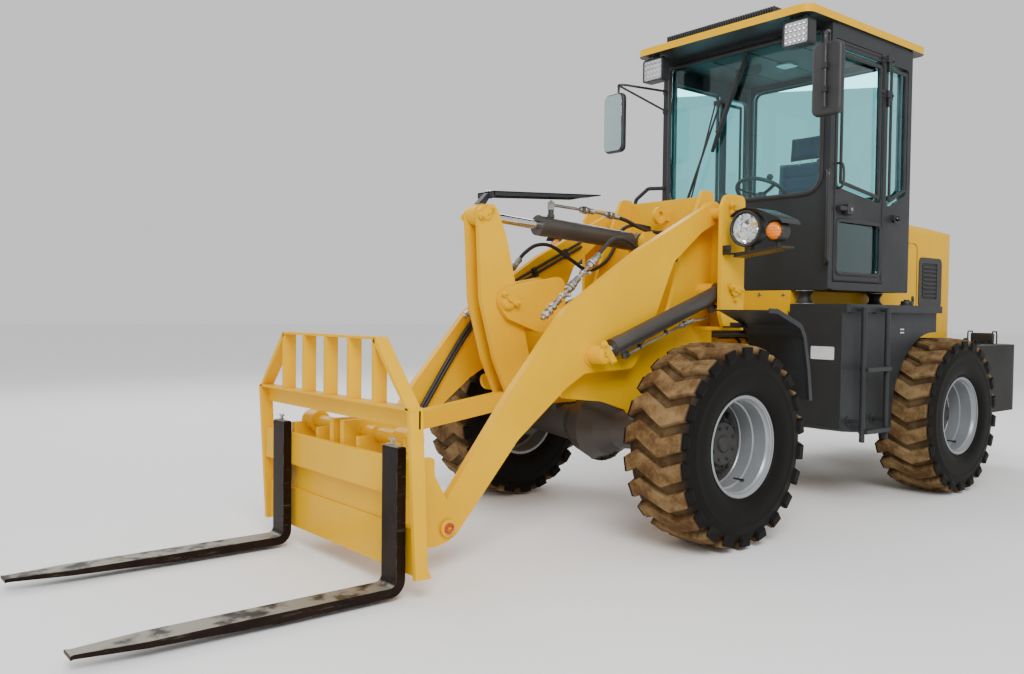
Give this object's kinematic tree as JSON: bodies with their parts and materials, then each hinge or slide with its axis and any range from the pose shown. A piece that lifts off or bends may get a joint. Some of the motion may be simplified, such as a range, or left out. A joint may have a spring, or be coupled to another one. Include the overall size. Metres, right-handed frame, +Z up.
{
  "type": "compact articulated wheel loader with pallet forks",
  "caption": "Articulated rough-ground loader with an enclosed cab, a Z-bar boom and a pallet-fork carriage on a quick hitch.",
  "frame": {"origin": "on the ground under the middle of the overall length, on the machine's centre plane", "axes": "+X forward towards the fork tips, +Y to the machine's left, +Z up"},
  "size_m": [7.264, 2.17, 3.1993],
  "materials": {
    "body_yellow": "satin",
    "frame_black": "satin",
    "cab_grey": "satin",
    "tyre": "matte",
    "rim": "satin",
    "glass": "clear",
    "chrome": "polished",
    "plastic": "matte",
    "seat": "woven",
    "steel": "brushed",
    "cast": "rough"
  },
  "bodies": {
    "rear_body": {"rear_frame": "body_yellow", "rear_axle": "frame_black", "engine_block": "cast", "hood": "body_yellow", "hood_grilles": "plastic", "counterweight": "frame_black", "steps_left": "frame_black", "steps_right": "frame_black", "cab_floor": "cab_grey", "cab_front": "cab_grey", "cab_rear": "cab_grey", "cab_left": "cab_grey", "cab_right": "cab_grey", "cab_roof": "body_yellow", "roof_unit": "plastic", "cab_glass": "glass", "seat_base": "plastic", "seat_cushions": "seat", "console": "plastic", "steering_wheel": "plastic", "handrails": "frame_black", "mirrors": "frame_black", "work_lights": "plastic", "exhaust": "cab_grey"},
    "door": {"cab_door": "cab_grey", "door_glass": "glass"},
    "front_body": {"front_frame": "body_yellow", "front_axle": "frame_black", "front_fenders": "frame_black", "headlamps": "plastic"},
    "boom": {"arm_left": "body_yellow", "arm_right": "body_yellow", "boom_crossmember": "body_yellow"},
    "crank_pin": {"bellcrank_pin": "steel"},
    "crank": {"bellcrank": "body_yellow"},
    "crank_low_pin": {"link_pin": "steel"},
    "link": {"tilt_link": "body_yellow"},
    "tip": {"tip_pins": "steel"},
    "attachment": {"quick_hitch": "body_yellow", "carriage": "body_yellow", "fork_left": "frame_black", "fork_right": "frame_black"},
    "tilt_base": {"tilt_base_pin": "steel"},
    "tilt_cylinder": {"tilt_barrel": "frame_black"},
    "tilt_piston": {"tilt_rod": "chrome", "tilt_guard": "cab_grey"},
    "lift_cylinder_left": {"lift_barrel_left": "frame_black"},
    "lift_piston_left": {"lift_rod_left": "chrome"},
    "lift_cylinder_right": {"lift_barrel_right": "frame_black"},
    "lift_piston_right": {"lift_rod_right": "chrome"},
    "steering_cylinder": {"steering_barrel": "frame_black"},
    "steering_piston": {"steering_rod": "chrome"},
    "wheel_front_left": {"tyre_front_left": "tyre", "rim_front_left": "rim"},
    "wheel_front_right": {"tyre_front_right": "tyre", "rim_front_right": "rim"},
    "wheel_rear_left": {"tyre_rear_left": "tyre", "rim_rear_left": "rim"},
    "wheel_rear_right": {"tyre_rear_right": "tyre", "rim_rear_right": "rim"}
  },
  "joints": [
    {"name": "articulation", "type": "hinge", "parent": "rear_body", "child": "front_body", "pos_m": [-0.746, 0, 0.785], "axis": [0, 0, 1], "range_deg": [-35, 35]},
    {"name": "door_swing", "type": "hinge", "parent": "rear_body", "child": "door", "pos_m": [-1.548, 0.716, 2.2], "axis": [0, 0, 1], "range_deg": [0, 150]},
    {"name": "wheel_front_left_spin", "type": "hinge", "parent": "front_body", "child": "wheel_front_left", "pos_m": [0.492, 0.885, 0.54], "axis": [0, 1, 0], "continuous": true},
    {"name": "wheel_front_right_spin", "type": "hinge", "parent": "front_body", "child": "wheel_front_right", "pos_m": [0.492, -0.885, 0.54], "axis": [0, 1, 0], "continuous": true},
    {"name": "wheel_rear_left_spin", "type": "hinge", "parent": "rear_body", "child": "wheel_rear_left", "pos_m": [-1.985, 0.885, 0.54], "axis": [0, 1, 0], "continuous": true},
    {"name": "wheel_rear_right_spin", "type": "hinge", "parent": "rear_body", "child": "wheel_rear_right", "pos_m": [-1.985, -0.885, 0.54], "axis": [0, 1, 0], "continuous": true},
    {"name": "boom_lift", "type": "hinge", "parent": "front_body", "child": "boom", "pos_m": [-0.014, 0, 1.833], "axis": [0, -1, 0], "range_deg": [0, 70]},
    {"name": "tip_turn", "type": "hinge", "parent": "boom", "child": "tip", "pos_m": [1.97, 0, 0.22], "axis": [0, -1, 0], "range_deg": [-42.4, 0]},
    {"name": "fork_tilt", "type": "hinge", "parent": "tip", "child": "attachment", "pos_m": [1.97, 0, 0.22], "axis": [0, 1, 0], "range_deg": [-30, 35]},
    {"name": "crank_pin_turn", "type": "hinge", "parent": "boom", "child": "crank_pin", "pos_m": [1.304, 0, 1.286], "axis": [0, -1, 0], "range_deg": [-21.4, 24.8]},
    {"name": "crank_turn", "type": "hinge", "parent": "crank_pin", "child": "crank", "pos_m": [1.304, 0, 1.286], "axis": [0, -1, 0], "range_deg": [0, 29.1]},
    {"name": "link_pin_turn", "type": "hinge", "parent": "crank", "child": "crank_low_pin", "pos_m": [1.172, 0, 0.75], "axis": [0, -1, 0], "range_deg": [-31.7, 27.3]},
    {"name": "link_turn", "type": "hinge", "parent": "crank_low_pin", "child": "link", "pos_m": [1.172, 0, 0.75], "axis": [0, -1, 0], "range_deg": [-39.6, 0]},
    {"name": "tilt_base_turn", "type": "hinge", "parent": "front_body", "child": "tilt_base", "pos_m": [0.172, 0, 1.67], "axis": [0, -1, 0], "range_deg": [0, 75.7]},
    {"name": "tilt_cylinder_turn", "type": "hinge", "parent": "tilt_base", "child": "tilt_cylinder", "pos_m": [0.172, 0, 1.67], "axis": [0, -1, 0], "range_deg": [-2.3, 2.5]},
    {"name": "tilt_piston_slide", "type": "slide", "parent": "tilt_cylinder", "child": "tilt_piston", "axis": [0.998, 0, 0.0626], "range_m": [-0.193, 0.166]},
    {"name": "lift_cylinder_left_turn", "type": "hinge", "parent": "front_body", "child": "lift_cylinder_left", "pos_m": [-0.023, 0.5, 1.367], "axis": [0, -1, 0], "range_deg": [0, 67.8]},
    {"name": "lift_piston_left_slide", "type": "slide", "parent": "lift_cylinder_left", "child": "lift_piston_left", "axis": [0.9433, 0, -0.3319], "range_m": [0, 0.544]},
    {"name": "lift_cylinder_right_turn", "type": "hinge", "parent": "front_body", "child": "lift_cylinder_right", "pos_m": [-0.023, -0.5, 1.367], "axis": [0, -1, 0], "range_deg": [0, 67.8]},
    {"name": "lift_piston_right_slide", "type": "slide", "parent": "lift_cylinder_right", "child": "lift_piston_right", "axis": [0.9433, 0, -0.3319], "range_m": [0, 0.544]},
    {"name": "steering_cylinder_turn", "type": "hinge", "parent": "rear_body", "child": "steering_cylinder", "pos_m": [-1.308, -0.235, 0.785], "axis": [0, 0, 1], "range_deg": [-16.5, 16.5]},
    {"name": "steering_piston_slide", "type": "slide", "parent": "steering_cylinder", "child": "steering_piston", "axis": [0.9984, -0.056, 0], "range_m": [-0.164, 0.164]}
  ],
  "couplings": [
    {"joint": "tip_turn", "follows": "boom_lift", "ratio": -0.5911},
    {"joint": "crank_pin_turn", "follows": "fork_tilt", "ratio": 0.6793},
    {"joint": "crank_turn", "follows": "boom_lift", "ratio": 0.40153},
    {"joint": "link_pin_turn", "follows": "fork_tilt", "ratio": -0.8761},
    {"joint": "link_turn", "follows": "boom_lift", "ratio": -0.5515},
    {"joint": "tilt_base_turn", "follows": "boom_lift", "ratio": 1.0675},
    {"joint": "tilt_cylinder_turn", "follows": "fork_tilt", "ratio": 0.0428},
    {"joint": "tilt_piston_slide", "follows": "fork_tilt", "m_per_rad": -0.31083},
    {"joint": "lift_cylinder_left_turn", "follows": "boom_lift", "ratio": 0.95364},
    {"joint": "lift_piston_left_slide", "follows": "boom_lift", "m_per_rad": 0.44174},
    {"joint": "lift_cylinder_right_turn", "follows": "boom_lift", "ratio": 0.95364},
    {"joint": "lift_piston_right_slide", "follows": "boom_lift", "m_per_rad": 0.44174},
    {"joint": "steering_cylinder_turn", "follows": "articulation", "ratio": 0.4416},
    {"joint": "steering_piston_slide", "follows": "articulation", "m_per_rad": 0.2633}
  ]
}
